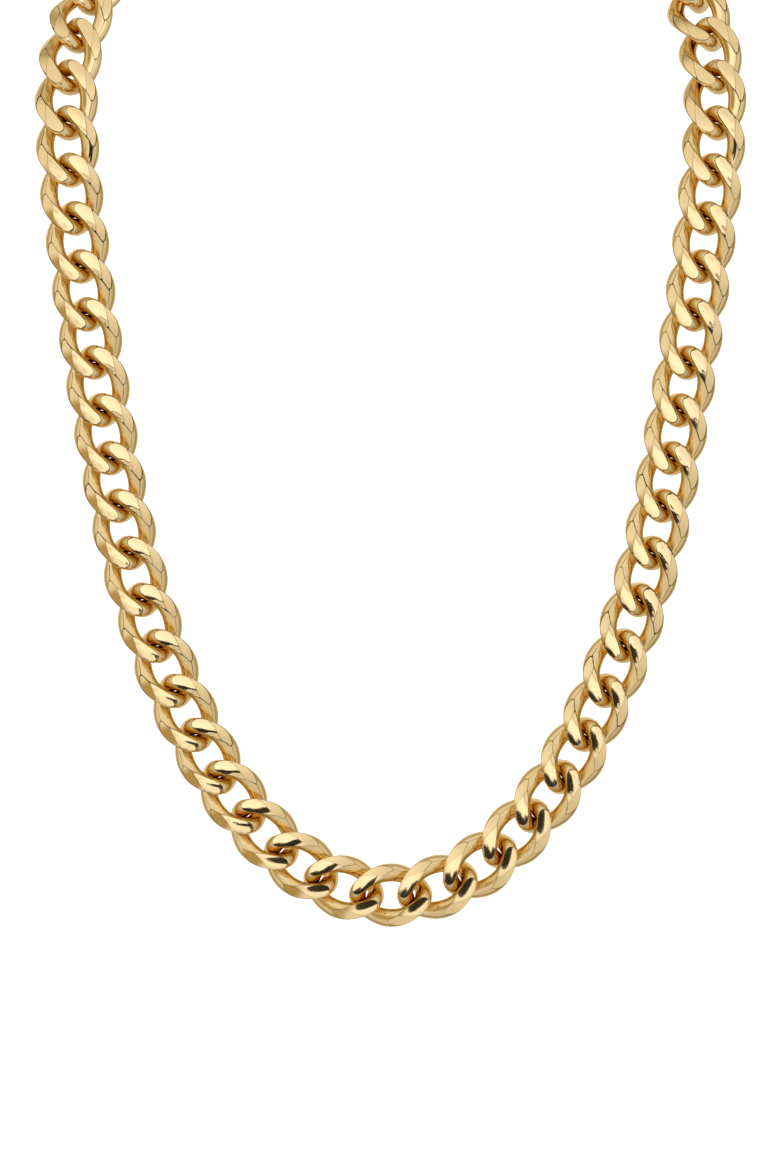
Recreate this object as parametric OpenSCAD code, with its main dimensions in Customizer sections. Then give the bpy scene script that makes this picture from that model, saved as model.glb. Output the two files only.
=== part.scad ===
// Curb chain necklace as it is worn: a whole loop of twisted and ground oval
// links, closed at the nape by a plain box clasp. Millimetres, +Z up, the wearer
// faces -Y, and the origin is where the inside of the clasp rests on the nape.

/* [Links] */
// Width of one link
chain_w = 12.35; // [11.8:0.05:13]
// Distance from one link to the next along the chain
link_pitch = 9.38; // [9.2:0.02:9.8]
// Diameter of the wire that a link is made from
wire_d = 3.3; // [3:0.05:3.35]
// Free play between two links along the chain
link_play = 0.2; // [0.2:0.05:0.45]
// Fullness of the oval: 100 is a plain ellipse, and less is squarer
oval_power = 65; // [60:1:72]
// Angle that each end of a link is twisted out of the link's own plane
end_twist = 58; // [55:1:61]
// Share of its twisted height that a link keeps in the press, in per cent
pressed = 72; // [70:1:76]
// Share of its width that the press spreads a link to, in per cent
spread = 108; // [106:1:109]

/* [Ground faces] */
// Height of the ground faces over the chain's middle, where they stand highest
face_top = 2.4; // [2.3:0.05:2.55]
// Distance from a link's middle to the place where its faces stand highest
face_peak = 5.8; // [5.4:0.1:6.2]
// Radius that a ground face is rounded to along its arm
face_round = 15.4; // [15:0.2:18]
// Distance from the chain's middle to the ridge between an arm's two faces
ridge_at = 3.93; // [3.6:0.03:4.2]
// Slant of the ridge, outwards along the arm
ridge_slant = 2.6; // [1:0.2:4]
// Slope of the outer of the two faces, away from the ridge
side_slope = 12.4; // [10:0.2:16]

/* [Worn form] */
// Lean of the front of the loop, with its top towards the wearer
front_lean = 22; // [10:1:35]
// Height above level that the outside of the chain faces at the nape
nape_tilt = 70; // [55:1:85]

/* [Clasp] */
// Length of the clasp between the two links that it holds
clasp_span = 26; // [22:0.5:32]
// Width of the clasp's box
clasp_w = 11; // [9:0.5:12]
// Thickness of the clasp's box
clasp_t = 4.8; // [4.4:0.1:6]
// Radius of the box's corners, seen from its face
clasp_corner = 2.4; // [1.5:0.1:3.5]
// Width of the slope round the box's two faces
clasp_slope = 0.7; // [0.3:0.1:1]
// Room between the box and the link that hangs in its ring
clasp_room = 0.9; // [0.8:0.1:1.4]

/* [Hidden] */
gold = "#E9C77C";
link_l = link_pitch + 2 * wire_d + link_play;
ring_sides = 16;
wire_sides = 6;
corner_fn = 32;

// Half of the loop, from the middle of the front up to the nape. The columns are
// the distance to the side, the rise along the leaning front, and the depth behind it.
half_run = [
    [0, 0.3, 0],
    [16, 5.3, 0],
    [29.5, 18.5, 0],
    [39, 34.5, 0],
    [46.5, 53, 0],
    [51.5, 71, 0],
    [55, 89.5, 0],
    [58, 108, 0],
    [60.5, 126.5, 0],
    [62.5, 145, 0.5],
    [62.5, 163, 5],
    [57, 180, 14.5],
    [45, 194, 27],
    [24, 204.5, 38.5],
    [0, 206.5, 41.5]
];
// Distances from the front's middle, along the chain, between which its face
// turns from the front's direction to the nape's
turn_start = 130;
turn_end = 265;
curve_steps = 12;

// The loop starts at the nape, runs down the wearer's right and up the left
last_knot = len(half_run) - 1;
knots = concat(
    [for (i = [last_knot : -1 : 1]) [-half_run[i].x, half_run[i].y, half_run[i].z]],
    [for (i = [0 : last_knot - 1]) half_run[i]]
);
function knot(i) = knots[(i + len(knots)) % len(knots)];
function stand_up(p) = [
    p.x,
    p.y * sin(front_lean) + p.z * cos(front_lean),
    p.y * cos(front_lean) - p.z * sin(front_lean)
];
// One smooth span between two knots that also heeds the knot on either side
function span_point(a, b, c, d, t) =
    b + (c - a) * t / 2
    + (2 * a - 5 * b + 4 * c - d) * t * t / 2
    + (3 * b - 3 * c + d - a) * t * t * t / 2;
curve = [
    for (i = [0 : len(knots) - 1])
        for (step = [0 : curve_steps - 1])
            stand_up(span_point(knot(i - 1), knot(i), knot(i + 1), knot(i + 2), step / curve_steps)),
    stand_up(knot(0))
];
reach = [
    for (i = 0, sum = 0; i < len(curve);
        sum = sum + (i + 1 < len(curve) ? norm(curve[i + 1] - curve[i]) : 0), i = i + 1) sum
];
loop_l = reach[len(reach) - 1];
curve_x = [for (i = [0 : len(curve) - 1]) [reach[i], curve[i].x]];
curve_y = [for (i = [0 : len(curve) - 1]) [reach[i], curve[i].y]];
curve_z = [for (i = [0 : len(curve) - 1]) [reach[i], curve[i].z]];
function at(s) = [lookup(s, curve_x), lookup(s, curve_y), lookup(s, curve_z)];

// Links share the loop evenly, with the clasp's span left out at the nape
link_count = round((loop_l - clasp_span) / link_pitch);
spacing = (loop_l - clasp_span) / link_count;
left_count = ceil(link_count / 2);
joints = [for (k = [0 : link_count]) at(clasp_span / 2 + k * spacing)];

// The way that the outside of the chain faces, at a distance along the loop
front_face = [0, -cos(front_lean), sin(front_lean)];
nape_face = [0, cos(nape_tilt), sin(nape_tilt)];
function ease(t) = t * t * (3 - 2 * t);
function turned(s) = ease(max(0, min(1, (abs(s - loop_l / 2) - turn_start) / (turn_end - turn_start))));
function unit(v) = v / norm(v);
function facing(s, along) =
    let (wish = front_face * (1 - turned(s)) + nape_face * turned(s))
    unit(wish - along * (wish * along));

// The frame of a straight piece between two points: middle, along, across, facing
function seat_frame(from, to, s) =
    let (along = unit(to - from), face = facing(s, along))
    [(from + to) / 2, along, cross(face, along), face];
clasp_frame = seat_frame(joints[link_count], joints[0], 0);
nape_seat = clasp_frame[0] - clasp_frame[3] * clasp_t / 2;
function placed(frame, p) =
    frame[0] + frame[1] * p.x + frame[2] * p.y + frame[3] * p.z - nape_seat;
function link_frame(k) =
    seat_frame(joints[k], joints[k + 1], clasp_span / 2 + (k + 0.5) * spacing);

// A point of the wire's skin on the flat oval ring, before the link is twisted
wire_r = wire_d / 2;
oval_l = link_l / 2 - wire_r;
oval_w = chain_w * 50 / spread - wire_r;
function sign_of(v) = v < 0 ? -1 : 1;
function squared(v) = sign_of(v) * pow(abs(v), oval_power / 100);
function oval_point(ring, side) =
    let (
        t = 360 * ring / ring_sides,
        u = 360 * side / wire_sides,
        out = unit([oval_w * cos(t), oval_l * sin(t)]) * wire_r * cos(u)
    )
    [oval_l * squared(cos(t)) + out.x, oval_w * squared(sin(t)) + out.y, wire_r * sin(u)];

// The twist about the chain's length, and the press that flattens and spreads it
function twisted(p) =
    let (turn = -end_twist * p.x / oval_l)
    [
        p.x,
        (p.y * cos(turn) - p.z * sin(turn)) * spread / 100,
        (p.y * sin(turn) + p.z * cos(turn)) * pressed / 100
    ];

// The grinding of the two faces of an arm, front or back. Both are rounded along the
// arm, stand highest near its front end, and run out where it dives behind its neighbour.
function ground(p) =
    let (
        front = sign_of(p.z),
        run = p.x * sign_of(p.y) * front,
        face = face_top - pow(run + face_peak, 2) / 2 / face_round,
        past_ridge = abs(p.y) - ridge_at - tan(ridge_slant) * run,
        height = face - max(0, past_ridge) * tan(side_slope)
    )
    [p.x, p.y, height > 0 ? front * min(abs(p.z), height) : p.z];
link_skin = [
    for (ring = [0 : ring_sides - 1])
        for (side = [0 : wire_sides - 1])
            ground(twisted(oval_point(ring, side)))
];
function skin_index(ring, side) = (ring % ring_sides) * wire_sides + side % wire_sides;
link_faces = [
    for (ring = [0 : ring_sides - 1])
        for (side = [0 : wire_sides - 1])
            for (half = [0, 1])
                half == 0
                    ? [skin_index(ring, side), skin_index(ring, side + 1), skin_index(ring + 1, side + 1)]
                    : [skin_index(ring, side), skin_index(ring + 1, side + 1), skin_index(ring + 1, side)]
];

// A row of links, from one number to another
module links(first, last) {
    color(gold)
        polyhedron(
            points = [for (k = [first : last]) for (p = link_skin) placed(link_frame(k), p)],
            faces = [for (k = [0 : last - first]) for (f = link_faces) f + [1, 1, 1] * k * len(link_skin)],
            convexity = 8
        );
}

module chain_left() {
    links(0, left_count - 1);
}

module chain_right() {
    links(left_count, link_count - 1);
}

// The ring at one end of the clasp is a link of the chain, soldered into the box
clasp_chord = norm(joints[0] - joints[link_count]);
link_overreach = (link_l - link_pitch) / 2;
box_l = clasp_chord - 2 * (link_overreach + clasp_room);
module clasp_ring(way) {
    middle = [way * (clasp_chord - link_pitch) / 2, 0, 0];
    polyhedron(
        points = [for (p = link_skin) placed(clasp_frame, middle + p)],
        faces = link_faces,
        convexity = 4
    );
}

module box_outline(inset) {
    offset(r = clasp_corner - inset, $fn = corner_fn)
        square([box_l - 2 * clasp_corner, clasp_w - 2 * clasp_corner], center = true);
}

module clasp_box() {
    middle = clasp_frame[0] - nape_seat;
    multmatrix([
        [clasp_frame[1].x, clasp_frame[2].x, clasp_frame[3].x, middle.x],
        [clasp_frame[1].y, clasp_frame[2].y, clasp_frame[3].y, middle.y],
        [clasp_frame[1].z, clasp_frame[2].z, clasp_frame[3].z, middle.z]
    ])
        hull() {
            linear_extrude(clasp_t - 2 * clasp_slope, center = true)
                box_outline(0);
            linear_extrude(clasp_t, center = true)
                box_outline(clasp_slope);
        }
}

module clasp() {
    color(gold) {
        clasp_box();
        clasp_ring(1);
        clasp_ring(-1);
    }
}

chain_left();
chain_right();
clasp();
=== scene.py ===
"""Curb chain necklace on a light table, seen square on to the front of its loop.

Metres, +Z up, the wearer faces -Y. The origin is the inside of the clasp, where
the necklace rests on the nape.
"""
import bisect
import math

import bpy
from mathutils import Matrix, Vector


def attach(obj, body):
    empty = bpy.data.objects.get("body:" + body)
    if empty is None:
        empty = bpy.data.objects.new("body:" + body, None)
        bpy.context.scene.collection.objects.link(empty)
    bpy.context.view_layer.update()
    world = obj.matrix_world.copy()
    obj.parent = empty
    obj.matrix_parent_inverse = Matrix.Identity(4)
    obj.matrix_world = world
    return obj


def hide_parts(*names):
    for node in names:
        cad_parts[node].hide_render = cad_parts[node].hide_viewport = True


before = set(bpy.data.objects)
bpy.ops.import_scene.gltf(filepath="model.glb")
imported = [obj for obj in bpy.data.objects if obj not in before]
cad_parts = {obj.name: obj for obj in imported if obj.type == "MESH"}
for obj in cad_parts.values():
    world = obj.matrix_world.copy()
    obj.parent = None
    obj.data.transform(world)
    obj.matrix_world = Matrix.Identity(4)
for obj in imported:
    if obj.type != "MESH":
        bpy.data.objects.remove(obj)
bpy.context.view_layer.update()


# The gold. Polished yellow plate over brass: the faces are ground and lapped almost to a
# mirror, with a fine grain and a little haze. Painted shade deepens the inside of the link, and
# thin brown lines of painted shade run along the faces' borders, for the dark reflections of their
# rounded edges. Each pattern's scale is 1000 over its size in millimetres.

def srgb(code):
    """Linear colour of an sRGB hex code."""
    parts = [int(code[i:i + 2], 16) / 255 for i in (0, 2, 4)]
    return [c / 12.92 if c <= 0.04045 else ((c + 0.055) / 1.055) ** 2.4 for c in parts] + [1.0]


def add_node(tree, kind, inputs=(), **settings):
    """New node; inputs are (socket, value or another node's output)."""
    node = tree.nodes.new(kind)
    for name, value in settings.items():
        setattr(node, name, value)
    for name, value in inputs:
        if isinstance(value, bpy.types.NodeSocket):
            tree.links.new(value, node.inputs[name])
        else:
            node.inputs[name].default_value = value
    return node


gold = bpy.data.materials.new("polished_gold_plate")
gold.use_nodes = True
tree = gold.node_tree
shader = tree.nodes["Principled BSDF"]
shader.inputs["Metallic"].default_value = 1.0
place = add_node(tree, "ShaderNodeTexCoord").outputs["Object"]
# Patches where the plate is a shade deeper
patches = add_node(tree, "ShaderNodeTexNoise", [
    ("Vector", place),
    ("Scale", 1000 / 5.56),
    ("Detail", 2.0),
])
colour = add_node(tree, "ShaderNodeMix", [
    ("Factor", patches.outputs["Fac"]),
    ("A", srgb("EDD29F")),
    ("B", srgb("F3DAA9")),
], data_type="RGBA")
# Painted shade: the plate is painted a deeper amber inside the link, on the skin that faces its hole
inside = add_node(tree, "ShaderNodeAttribute", attribute_name="recess")
depth = add_node(tree, "ShaderNodeMapRange", [
    ("Value", inside.outputs["Fac"]),
    ("From Min", 0.15),
    ("From Max", 0.9),
], interpolation_type="SMOOTHSTEP")
shaded_recess = add_node(tree, "ShaderNodeMix", [
    ("Factor", depth.outputs["Result"]),
    ("A", colour.outputs["Result"]),
    ("B", srgb("CFA64E")),
], data_type="RGBA")
# Brown lines of painted shade along the borders, standing in for the dark reflections of the
# rounded edges. They are full up to 0.04 mm from a border and gone 0.13 mm from it, because
# the attribute falls from 1 by 1 per millimetre
border = add_node(tree, "ShaderNodeAttribute", attribute_name="rim")
line = add_node(tree, "ShaderNodeMapRange", [
    ("Value", border.outputs["Fac"]),
    ("From Min", 1 - 0.13),
    ("From Max", 1 - 0.04),
], interpolation_type="SMOOTHSTEP")
# They are uneven along a border
uneven = add_node(tree, "ShaderNodeTexNoise", [
    ("Vector", place),
    ("Scale", 1000 / 3.85),
    ("Detail", 1.0),
])
line_unevenness = add_node(tree, "ShaderNodeMapRange", [
    ("Value", uneven.outputs["Fac"]),
    ("From Min", 0.35),
    ("From Max", 0.65),
    ("To Min", 0.45),
    ("To Max", 1.0),
])
# The painted lines are fainter on the lowest links, 135 to 172 mm below the nape
height = add_node(tree, "ShaderNodeSeparateXYZ", [("Vector", place)])
low_links_fade = add_node(tree, "ShaderNodeMapRange", [
    ("Value", height.outputs["Z"]),
    ("From Min", -0.172),
    ("From Max", -0.135),
    ("To Min", 0.45),
    ("To Max", 1.0),
], interpolation_type="SMOOTHSTEP")
line_strength = add_node(tree, "ShaderNodeMath", [
    (0, line_unevenness.outputs["Result"]),
    (1, low_links_fade.outputs["Result"]),
], operation="MULTIPLY")
line_share = add_node(tree, "ShaderNodeMath", [
    (0, line.outputs["Result"]),
    (1, line_strength.outputs["Value"]),
], operation="MULTIPLY")
# The dark brown of the painted lines of shade is mixed in here
lined = add_node(tree, "ShaderNodeMix", [
    ("Factor", line_share.outputs["Value"]),
    ("A", shaded_recess.outputs["Result"]),
    ("B", srgb("261505")),
], data_type="RGBA")
tree.links.new(lined.outputs["Result"], shader.inputs["Base Color"])
# Hazy and bright spots left by the polishing wheel
haze = add_node(tree, "ShaderNodeTexNoise", [
    ("Vector", place),
    ("Scale", 1000 / 2.38),
    ("Detail", 3.0),
])
rough = add_node(tree, "ShaderNodeMapRange", [
    ("Value", haze.outputs["Fac"]),
    ("To Min", 0.05),
    ("To Max", 0.12),
])
tree.links.new(rough.outputs["Result"], shader.inputs["Roughness"])
# Grain of the polish, drawn coarser than the real one so that it shows
grain = add_node(tree, "ShaderNodeTexNoise", [
    ("Vector", place),
    ("Scale", 1000 / 0.385),
    ("Detail", 2.0),
])
bump = add_node(tree, "ShaderNodeBump", [
    ("Height", grain.outputs["Fac"]),
    ("Strength", 0.08),
    ("Distance", 0.00002),
])
tree.links.new(bump.outputs["Normal"], shader.inputs["Normal"])


# The way the chain lies round the neck: a leaning front that hangs as a U, and two
# sides that turn back to the nape. Half of it is given, as in the source: the distance
# to the side, the rise along the leaning front, and the depth behind it.

half_run = [
    (0, 0.0003, 0), (0.016, 0.0053, 0), (0.0295, 0.0185, 0), (0.039, 0.0345, 0), (0.0465, 0.053, 0),
    (0.0515, 0.071, 0), (0.055, 0.0895, 0), (0.058, 0.108, 0), (0.0605, 0.1265, 0),
    (0.0625, 0.145, 0.0005), (0.0625, 0.163, 0.005), (0.057, 0.18, 0.0145), (0.045, 0.194, 0.027),
    (0.024, 0.2045, 0.0385), (0, 0.2065, 0.0415),
]
lean = math.radians(22)
stand_up = Matrix.Rotation(-lean, 3, "X")
knots = [Vector((-x, depth, rise)) for x, rise, depth in reversed(half_run[1:])]
knots += [Vector((x, depth, rise)) for x, rise, depth in half_run[:-1]]
curve_steps = 12
way = []
for i in range(len(knots)):
    a, b, c, d = (knots[(i + j) % len(knots)] for j in (-1, 0, 1, 2))
    for step in range(curve_steps):
        t = step / curve_steps
        bend = (2 * a - 5 * b + 4 * c - d) * t * t + (3 * b - 3 * c + d - a) * t ** 3
        way.append(stand_up @ (b + (c - a) * t / 2 + bend / 2))
way.append(stand_up @ knots[0])
reach = [0.0]
for start, end in zip(way, way[1:]):
    reach.append(reach[-1] + (end - start).length)
loop_l = reach[-1]


def at(s):
    """Point of the loop at a distance from the nape."""
    i = min(max(bisect.bisect_right(reach, s) - 1, 0), len(way) - 2)
    return way[i].lerp(way[i + 1], (s - reach[i]) / (reach[i + 1] - reach[i]))


# The chain's outside turns from the front's direction to the nape's, between two
# distances from the middle of the front
nape_tilt = math.radians(70)
front_face = Vector((0, -math.cos(lean), math.sin(lean)))
nape_face = Vector((0, math.cos(nape_tilt), math.sin(nape_tilt)))
turn_start, turn_length = 0.130, 0.135


def seat(start, end, s):
    """Matrix of a straight piece between two points, its outer face along Z."""
    along = (end - start).normalized()
    t = min(max((abs(s - loop_l / 2) - turn_start) / turn_length, 0), 1)
    face = front_face.lerp(nape_face, t * t * (3 - 2 * t))
    face = (face - along * face.dot(along)).normalized()
    turn = Matrix((along, face.cross(along), face)).transposed().to_4x4()
    return Matrix.Translation((start + end) / 2) @ turn


# The links share the loop evenly, with the clasp's span left out at the nape
pitch = 0.00938
clasp_span, clasp_t = 0.026, 0.0048
link_count = round((loop_l - clasp_span) / pitch)
spacing = (loop_l - clasp_span) / link_count
joints = [at(clasp_span / 2 + k * spacing) for k in range(link_count + 1)]
clasp_seat = seat(joints[-1], joints[0], 0)
nape = clasp_seat @ Vector((0, 0, -clasp_t / 2))
to_origin = Matrix.Translation(-nape)


# One link. Round brass wire bent to an oval and soldered shut, its ends twisted
# 58 degrees to either side, pressed flatter and wider, and ground front and back.
# It is made at the origin: x along the chain, y across it and z outwards.

wire_r = 0.0033 / 2
play = 0.0002
link_l = pitch + 4 * wire_r + play
link_w = 0.01235
end_twist, pressed, spread = math.radians(58), 0.72, 1.08
oval_x = link_l / 2 - wire_r
oval_y = link_w / 2 / spread - wire_r
oval_full = 0.795
end_swell = 1.025
bpy.ops.object.select_all(action="DESELECT")
bpy.ops.curve.primitive_bezier_circle_add(radius=1)
link = bpy.context.object
wire = link.data
corners = [
    (-oval_x, 0, 0, oval_full * oval_y),
    (0, oval_y, oval_full * oval_x, 0),
    (oval_x, 0, 0, -oval_full * oval_y),
    (0, -oval_y, -oval_full * oval_x, 0),
]
for point, (x, y, pull_x, pull_y) in zip(wire.splines[0].bezier_points, corners):
    point.handle_left_type = point.handle_right_type = "FREE"
    point.co = (x, y, 0)
    point.handle_left = (x - pull_x, y - pull_y, 0)
    point.handle_right = (x + pull_x, y + pull_y, 0)
    point.radius = end_swell if x else 1
wire.dimensions = "3D"
wire.twist_mode = "Z_UP"
wire.resolution_u = 18
wire.bevel_depth = wire_r
wire.bevel_resolution = 12
bpy.ops.object.convert(target="MESH")
link = bpy.context.object
# All three slots are the gold, and tell the wire's skin, the front and the side faces apart
wire_slot, front_slot, side_slot = 0, 1, 2
for slot in (wire_slot, front_slot, side_slot):
    link.data.materials.append(gold)
# Inside its ends the press leaves the wire fuller, most on both sides of where the next link
# sits. The attribute says by how much, and each link takes its share when it is set down
least_fuller, most_fuller, fuller_growth = 0.00002, 0.0003, 150
inside_depth, inside_w = 1.2, 0.0035
fuller = link.data.attributes.new("fuller", "FLOAT", "POINT")
for vertex in link.data.vertices:
    inner = (oval_x - abs(vertex.co.x)) / wire_r
    if 0 < inner < inside_depth and abs(vertex.co.y) < inside_w:
        rise = least_fuller + fuller_growth * vertex.co.y ** 2
        fuller.data[vertex.index].value = min(rise, most_fuller) * min(inner, 1)
# The twist is given for the oval's own length, and runs on through the wire at its ends
twist = link.modifiers.new("twist", "SIMPLE_DEFORM")
twist.deform_method = "TWIST"
twist.deform_axis = "X"
twist.angle = -end_twist * 2 * (oval_x + wire_r * end_swell) / oval_x
bpy.ops.object.modifier_apply(modifier=twist.name)
bpy.ops.object.mode_set(mode="EDIT")
bpy.ops.mesh.select_all(action="SELECT")
bpy.ops.transform.resize(value=(1, spread, pressed), center_override=(0, 0, 0))
bpy.ops.mesh.remove_doubles(threshold=1e-7)
bpy.ops.mesh.normals_make_consistent(inside=False)
bpy.ops.object.mode_set(mode="OBJECT")


def combine(piece, other, operation):
    """Join, cut or intersect a piece with another, which is used up."""
    step = piece.modifiers.new(operation.lower(), "BOOLEAN")
    step.operation = operation
    step.solver = "EXACT"
    step.material_mode = "INDEX"
    step.object = other
    bpy.context.view_layer.objects.active = piece
    bpy.ops.object.modifier_apply(modifier=step.name)
    bpy.data.objects.remove(other)


def take_slots(piece, slot):
    """Give a cutter the link's materials and one of its slots."""
    for material in link.data.materials:
        piece.data.materials.append(material)
    for polygon in piece.data.polygons:
        polygon.material_index = slot


# What the wheel leaves of an arm: under the front face it is domed, most of all across
# the arm, and under the side face it is rounded along the chain and slopes outwards
dome_x, dome_y, dome_top = -0.006134, 0.000526, 0.002364
dome_along, dome_across, dome_high = 0.036, 0.009, 0.005
dome_half_l, dome_half_w = math.sqrt(dome_along * dome_high), math.sqrt(dome_across * dome_high)
dome_turn = math.radians(50)
bpy.ops.object.select_all(action="DESELECT")
bpy.ops.mesh.primitive_uv_sphere_add(
    segments=160, ring_count=100, radius=1, rotation=(0, math.radians(90), 0))
under_faces = bpy.context.object
bpy.ops.object.transform_apply(location=True, rotation=True, scale=True)
under_faces.data.transform(
    Matrix.Translation((dome_x, dome_y, dome_top - dome_high)) @ Matrix.Rotation(dome_turn, 4, "Z")
    @ Matrix.Diagonal((dome_half_l, dome_half_w, dome_high, 1)))
take_slots(under_faces, front_slot)
side_x, side_y, side_top = -0.004251, 0.00393, 0.002116
side_round, side_slope = 0.0125, math.atan(0.2687)
bpy.ops.object.select_all(action="DESELECT")
bpy.ops.mesh.primitive_cylinder_add(
    vertices=240, radius=side_round, depth=0.03, rotation=(math.radians(90), 0, 0))
side_drum = bpy.context.object
bpy.ops.object.transform_apply(location=True, rotation=True, scale=True)
# Cuts 0.3 mm apart give the side face points of its own, which carry the painted brown lines of shade
cut_apart = 0.0003
bpy.ops.object.mode_set(mode="EDIT")
for step in range(-4, 9):
    bpy.ops.mesh.select_all(action="SELECT")
    bpy.ops.mesh.bisect(plane_co=(0, cut_apart * step, 0), plane_no=(0, 1, 0), threshold=1e-7)
bpy.ops.object.mode_set(mode="OBJECT")
side_drum.data.transform(
    Matrix.Translation((side_x, side_y, side_top)) @ Matrix.Rotation(-side_slope, 4, "X")
    @ Matrix.Translation((0, 0, -side_round)))
take_slots(side_drum, side_slot)
combine(under_faces, side_drum, "INTERSECT")
# The wheel clears a box over the arm down to that, and does so front and back on both arms
low, high = Vector((-0.009, 0.0002, 0.0001)), Vector((0.00045, 0.0075, 0.004))
bpy.ops.mesh.primitive_cube_add(size=1)
wheel = bpy.context.object
wheel.data.transform(Matrix.Translation((low + high) / 2) @ Matrix.Diagonal((*(high - low), 1)))
take_slots(wheel, wire_slot)
combine(wheel, under_faces, "DIFFERENCE")
wheels = [wheel]
for axis in ("X", "Y", "Z"):
    turned = wheel.copy()
    turned.data = wheel.data.copy()
    bpy.context.collection.objects.link(turned)
    turned.data.transform(Matrix.Rotation(math.radians(180), 4, axis))
    wheels.append(turned)
for cutter in wheels:
    combine(link, cutter, "DIFFERENCE")

# Behind the side face each arm keeps a crest, from the tip of the face back and inwards.
# A border is kept as its two ends and how much thinner its painted brown line of shade is
crest_thinner, ridge_thinner = 0.00002, 0.00005
crest_start, crest_end = Vector((0.00045, 0.00508, 0)), Vector((0.0034, 0.00435, 0))
crest_floor = -0.0008
across_crest = (crest_end - crest_start).cross(Vector((0, 0, 1))).normalized()
bpy.ops.object.select_all(action="DESELECT")
link.select_set(True)
bpy.context.view_layer.objects.active = link
bpy.ops.object.mode_set(mode="EDIT")
bpy.ops.mesh.select_mode(type="FACE")
bpy.ops.object.mode_set(mode="OBJECT")
borders = []
half_turns = [Matrix.Rotation(math.radians(180), 3, axis) for axis in "XYZ"]
for turn in [Matrix.Identity(3)] + half_turns:
    # The faces round the crest are cut along it, and the new edges are borders too
    for polygon in link.data.polygons:
        p = turn @ polygon.center
        polygon.select = 0.0003 < p.x < 0.0037 and 0.0035 < p.y < 0.0056 and p.z > crest_floor
    bpy.ops.object.mode_set(mode="EDIT")
    bpy.ops.mesh.bisect(plane_co=turn @ crest_start, plane_no=turn @ across_crest, threshold=1e-7)
    bpy.ops.object.mode_set(mode="OBJECT")
    for edge in link.data.edges:
        a, b = (turn @ link.data.vertices[i].co for i in edge.vertices)
        on_plane = all(abs((p - crest_start).dot(across_crest)) < 2e-6 for p in (a, b))
        if on_plane and all(0.0004 < p.x < 0.0036 and p.z > crest_floor for p in (a, b)):
            borders.append((turn @ a, turn @ b, crest_thinner))

# The borders of the ground faces stay crisp. Every point of the skin knows how far it lies
# from them, as rim, which places the painted lines of shade, and how squarely it faces the
# hole of the link, as recess, which sets the painted shade inside the link
bpy.ops.object.select_all(action="DESELECT")
link.select_set(True)
bpy.context.view_layer.objects.active = link
bpy.ops.object.mode_set(mode="EDIT")
bpy.ops.mesh.select_mode(type="EDGE")
bpy.ops.mesh.select_all(action="SELECT")
bpy.ops.mesh.remove_doubles(threshold=0.00002)
bpy.ops.mesh.faces_shade_smooth()
bpy.ops.mesh.select_all(action="DESELECT")
bpy.ops.object.mode_set(mode="OBJECT")
skin = link.data
sides = {}
for polygon in skin.polygons:
    for key in polygon.edge_keys:
        sides.setdefault(key, set()).add(polygon.material_index)
for edge in skin.edges:
    met = sides.get(tuple(sorted(edge.vertices)), ())
    edge.select = len(met) > 1
    if edge.select:
        a, b = (skin.vertices[i].co.copy() for i in edge.vertices)
        borders.append((a, b, ridge_thinner if met == {front_slot, side_slot} else 0))
bpy.ops.object.mode_set(mode="EDIT")
bpy.ops.mesh.mark_sharp()
bpy.ops.object.mode_set(mode="OBJECT")
rim = skin.attributes.new("rim", "FLOAT", "POINT")
recess = skin.attributes.new("recess", "FLOAT", "POINT")
for vertex in skin.vertices:
    near = 1.0
    for a, b, thinner in borders:
        if (vertex.co - a).length < 0.0025:
            along = b - a
            t = min(max((vertex.co - a).dot(along) / max(along.length_squared, 1e-14), 0), 1)
            near = min(near, (vertex.co - a - along * t).length + thinner)
    rim.data[vertex.index].value = 1 - min(near, 0.002) * 1000
    inwards = Vector((-vertex.co.x * 0.35, -vertex.co.y, 0)).normalized()
    recess.data[vertex.index].value = max(vertex.normal.dot(inwards), 0)


def copy_link(matrix, share):
    """Own copy of the link, set down in its place; share of the fuller inside that it keeps."""
    copy = link.copy()
    copy.data = link.data.copy()
    bpy.context.collection.objects.link(copy)
    fuller_by = copy.data.attributes["fuller"].data
    for vertex in copy.data.vertices:
        vertex.co.x -= math.copysign(share * fuller_by[vertex.index].value, vertex.co.x)
    copy.data.attributes.remove(copy.data.attributes["fuller"])
    copy.data.transform(matrix)
    return copy


def join(parts, name, node):
    """Join the parts to one piece that stands for a node of the source."""
    bpy.ops.object.select_all(action="DESELECT")
    for part in parts:
        part.select_set(True)
    bpy.context.view_layer.objects.active = parts[0]
    if len(parts) > 1:
        bpy.ops.object.join()
    piece = bpy.context.view_layer.objects.active
    piece.name = piece.data.name = name
    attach(piece, "root")
    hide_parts(node)
    return piece


# The two strands, each a row of links that pass through one another. The left one
# runs from the clasp down to the middle of the front, and the right one back up.

seats = [
    to_origin @ seat(joints[k], joints[k + 1], clasp_span / 2 + (k + 0.5) * spacing)
    for k in range(link_count)
]
# Where the chain bends, the fuller inside has less room beside the next link: a link keeps
# all of it up to a bend of 8 degrees, and none from 12 degrees on
ends = [to_origin @ clasp_seat] + seats + [to_origin @ clasp_seat]
turns = [a.to_quaternion().rotation_difference(b.to_quaternion()).angle for a, b in zip(ends, ends[1:])]
bends = [math.degrees(min(turn, 2 * math.pi - turn)) for turn in turns]
free_bend, least_bend = 12, 8
shares = [
    min(max((free_bend - max(bends[k:k + 2])) / (free_bend - least_bend), 0), 1)
    for k in range(link_count)
]
links = [copy_link(m, share) for m, share in zip(seats, shares)]
half = math.ceil(link_count / 2)
join(links[:half], "left_strand", "chain_left")
join(links[half:], "right_strand", "chain_right")


# The clasp. A plain box of folded brass sheet with rounded corners, plated with the
# chain, and at each end a link soldered into it as a ring.

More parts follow.
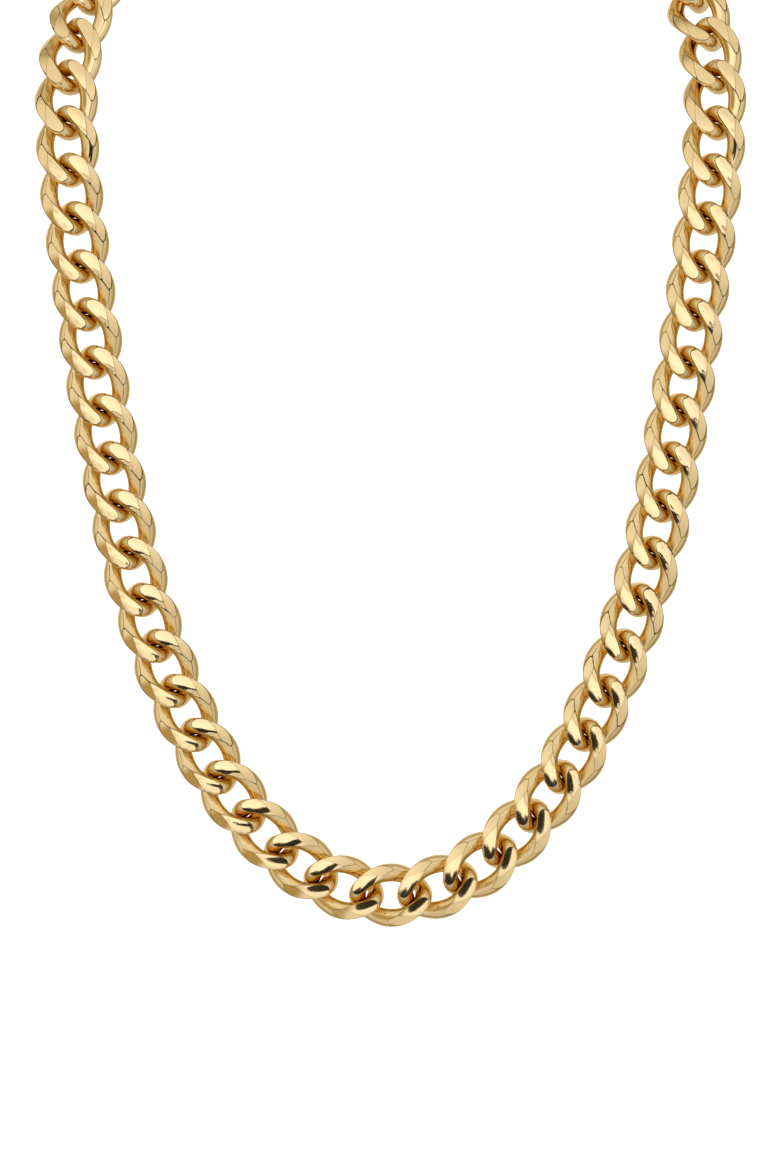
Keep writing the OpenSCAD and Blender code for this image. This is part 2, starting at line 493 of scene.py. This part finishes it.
clasp_w, clasp_corner, clasp_slope, clasp_room = 0.011, 0.0024, 0.0007, 0.0009
chord = (joints[0] - joints[-1]).length
box_l = chord - 2 * ((link_l - pitch) / 2 + clasp_room)
bpy.ops.object.select_all(action="DESELECT")
bpy.ops.mesh.primitive_cube_add(size=1)
box = bpy.context.object
bpy.ops.object.mode_set(mode="EDIT")
bpy.ops.mesh.select_all(action="SELECT")
bpy.ops.transform.resize(value=(box_l, clasp_w, clasp_t), center_override=(0, 0, 0))
bpy.ops.mesh.select_all(action="DESELECT")
bpy.ops.object.mode_set(mode="OBJECT")
# The upright edges are rounded as corners, and then the edges of both faces sloped off
for edge in box.data.edges:
    a, b = (box.data.vertices[i].co for i in edge.vertices)
    edge.select = abs(a.z - b.z) > clasp_t / 2
bpy.ops.object.mode_set(mode="EDIT")
bpy.ops.mesh.bevel(offset=clasp_corner, segments=10, affect="EDGES")
bpy.ops.mesh.select_all(action="DESELECT")
bpy.ops.object.mode_set(mode="OBJECT")
for edge in box.data.edges:
    a, b = (box.data.vertices[i].co for i in edge.vertices)
    edge.select = abs(a.z - b.z) < clasp_t / 2
bpy.ops.object.mode_set(mode="EDIT")
bpy.ops.mesh.bevel(offset=clasp_slope, segments=4, affect="EDGES")
bpy.ops.object.mode_set(mode="OBJECT")
bpy.ops.object.shade_smooth_by_angle(angle=math.radians(30))
for material in link.data.materials:
    box.data.materials.append(material)
box.data.transform(to_origin @ clasp_seat)
for side in (1, -1):
    soldered = Matrix.Translation((side * (chord - pitch) / 2, 0, 0))
    combine(box, copy_link(to_origin @ clasp_seat @ soldered, 0), "UNION")
join([box], "box_clasp", "clasp")
bpy.data.objects.remove(link)


# The light table: one pale sheet of matt white acrylic well below the necklace, lit from
# beneath. It fills the picture evenly, and the gold doesn't mirror it.

table_drop = 0.42
bpy.ops.mesh.primitive_plane_add(size=12, location=(0, 0, -table_drop))
floor = bpy.context.object
floor.name = "light_table"
table = bpy.data.materials.new("white_acrylic_sheet")
table.use_nodes = True
sheet = table.node_tree.nodes["Principled BSDF"]
sheet.inputs["Base Color"].default_value = srgb("F4F4F2")
sheet.inputs["Roughness"].default_value = 0.7
sheet.inputs["Emission Color"].default_value = srgb("FFFFFF")
sheet.inputs["Emission Strength"].default_value = 0.45
floor.data.materials.append(table)
floor.visible_glossy = False


# Studio: a tent of soft white cloth, which the gold mirrors. It is brightest in front and
# above, and dim at the sides, where it is warmer too.

world = bpy.data.worlds.new("studio_tent")
bpy.context.scene.world = world
world.use_nodes = True
air = world.node_tree
background = air.nodes["Background"]
way_out = add_node(air, "ShaderNodeTexCoord").outputs["Generated"]
ahead = add_node(air, "ShaderNodeVectorMath", [
    (0, way_out),
    (1, tuple(front_face)),
], operation="DOT_PRODUCT")
along_ramp = add_node(air, "ShaderNodeMapRange", [
    ("Value", ahead.outputs["Value"]),
    ("From Min", -1.0),
    ("From Max", 1.0),
])
cloth = add_node(air, "ShaderNodeValToRGB", [("Fac", along_ramp.outputs["Result"])])
# Place on the ramp, from 0 behind the necklace to 1 in front of it, brightness and warmth.
# A ramp ends at 1, so the brightness is scaled down there and up again in the strength
headroom = 1.4
stops = [
    (0, 0.75, 0.6), (0.25, 0.75, 0.7), (0.4, 0.46, 0.9), (0.5, 0.42, 0.9),
    (0.6, 0.66, 0.7), (0.7, 0.84, 0.5), (0.78, 0.85, 0.4), (0.88, 0.88, 0.3),
    (0.935, 0.98, 0.2), (0.96, 1.12, 0.1), (0.985, 1.25, 0), (1, 1.38, 0),
]
ramp = cloth.color_ramp
while len(ramp.elements) < len(stops):
    ramp.elements.new(0.5)
for element, (place_on, value, warmth) in zip(ramp.elements, stops):
    element.position = place_on
    value /= headroom
    element.color = (value, value * (1 - 0.13 * warmth), value * (1 - 0.42 * warmth), 1)
upper_left = stand_up @ Vector((-0.45, 0, 0.89))
above = add_node(air, "ShaderNodeVectorMath", [
    (0, way_out),
    (1, tuple(upper_left)),
], operation="DOT_PRODUCT")
top_light = add_node(air, "ShaderNodeMapRange", [
    ("Value", above.outputs["Value"]),
    ("From Min", -1.0),
    ("From Max", 1.0),
    ("To Min", 0.85 * headroom),
    ("To Max", 1.15 * headroom),
])
# A tan card stands low on the left, with a soft border. Side faces that look there mirror it
card_at = stand_up @ Vector((-0.615, -0.785, -0.07))
card_inner, card_outer = 0.2, 0.48
off_card = add_node(air, "ShaderNodeVectorMath", [
    (0, way_out),
    (1, tuple(card_at)),
], operation="DISTANCE")
card_share = add_node(air, "ShaderNodeMapRange", [
    ("Value", off_card.outputs["Value"]),
    ("From Min", card_inner),
    ("From Max", card_outer),
    ("To Min", 0.92),
    ("To Max", 0.0),
], interpolation_type="SMOOTHSTEP")
with_card = add_node(air, "ShaderNodeMix", [
    ("Factor", card_share.outputs["Result"]),
    ("A", cloth.outputs["Color"]),
    ("B", srgb("98834C")),
], data_type="RGBA")
# Only mirrored light sees the tent's shading; all other light is even white
seen = add_node(air, "ShaderNodeLightPath")
tone = add_node(air, "ShaderNodeMix", [
    ("Factor", seen.outputs["Is Glossy Ray"]),
    ("A", srgb("FFFFFF")),
    ("B", with_card.outputs["Result"]),
], data_type="RGBA")
air.links.new(tone.outputs["Result"], background.inputs["Color"])
strength = add_node(air, "ShaderNodeMix", [
    ("Factor", seen.outputs["Is Glossy Ray"]),
    ("A", 1.0),
    ("B", top_light.outputs["Result"]),
], data_type="FLOAT")
air.links.new(strength.outputs["Result"], background.inputs["Strength"])


# Camera: square on to the front of the loop, from a metre off, through a long lens. The
# seen height is that of the whole picture, and colours are shown with no film curve.

camera_off, seen_height = 1.0, 0.2263
# The middle of the picture lies on the leaning front, 61 mm up from its foot
middle = stand_up @ Vector((-0.0001, 0, 0.06076)) - nape
lens = bpy.data.cameras.new("camera")
camera = bpy.data.objects.new("camera", lens)
bpy.context.collection.objects.link(camera)
camera.location = middle + front_face * camera_off
camera.rotation_euler = (math.radians(90) - lean, 0, 0)
lens.sensor_fit = "VERTICAL"
lens.sensor_height = 24
lens.lens = lens.sensor_height * camera_off / seen_height
bpy.context.scene.camera = camera
bpy.context.scene.view_settings.view_transform = "Standard"


# A dark flag: half a flat ring of matt black card in front of the lower links, 28 mm below
# the middle of the picture. It is seen in mirrored light alone, and gives the dark drops on
# their faces.

flag_aside, flag_drop, flag_off = 0.002, 0.028, 0.3
flag_flat = 0.05
dark = bpy.data.materials.new("black_card")
dark.use_nodes = True
card = dark.node_tree.nodes["Principled BSDF"]
card.inputs["Base Color"].default_value = srgb("221C14")
card.inputs["Roughness"].default_value = 0.9
bpy.ops.object.select_all(action="DESELECT")
bpy.ops.mesh.primitive_torus_add(
    major_radius=0.060, minor_radius=0.036, major_segments=64, minor_segments=12)
flag = bpy.context.object
flag.name = "dark_flag"
bpy.ops.object.mode_set(mode="EDIT")
bpy.ops.mesh.select_all(action="SELECT")
bpy.ops.transform.resize(value=(1, 1.15, flag_flat), center_override=(0, 0, 0))
bpy.ops.mesh.bisect(plane_co=(0, -0.01, 0), plane_no=(0, 1, 0), clear_outer=True, use_fill=True)
bpy.ops.object.mode_set(mode="OBJECT")
flag.data.transform(
    Matrix.Translation(middle) @ stand_up.to_4x4() @ Matrix.Rotation(math.radians(90), 4, "X")
    @ Matrix.Translation((flag_aside, -flag_drop, flag_off)))
flag.data.materials.append(dark)
flag.visible_camera = False
flag.visible_diffuse = False
flag.visible_shadow = False
flag.visible_transmission = False
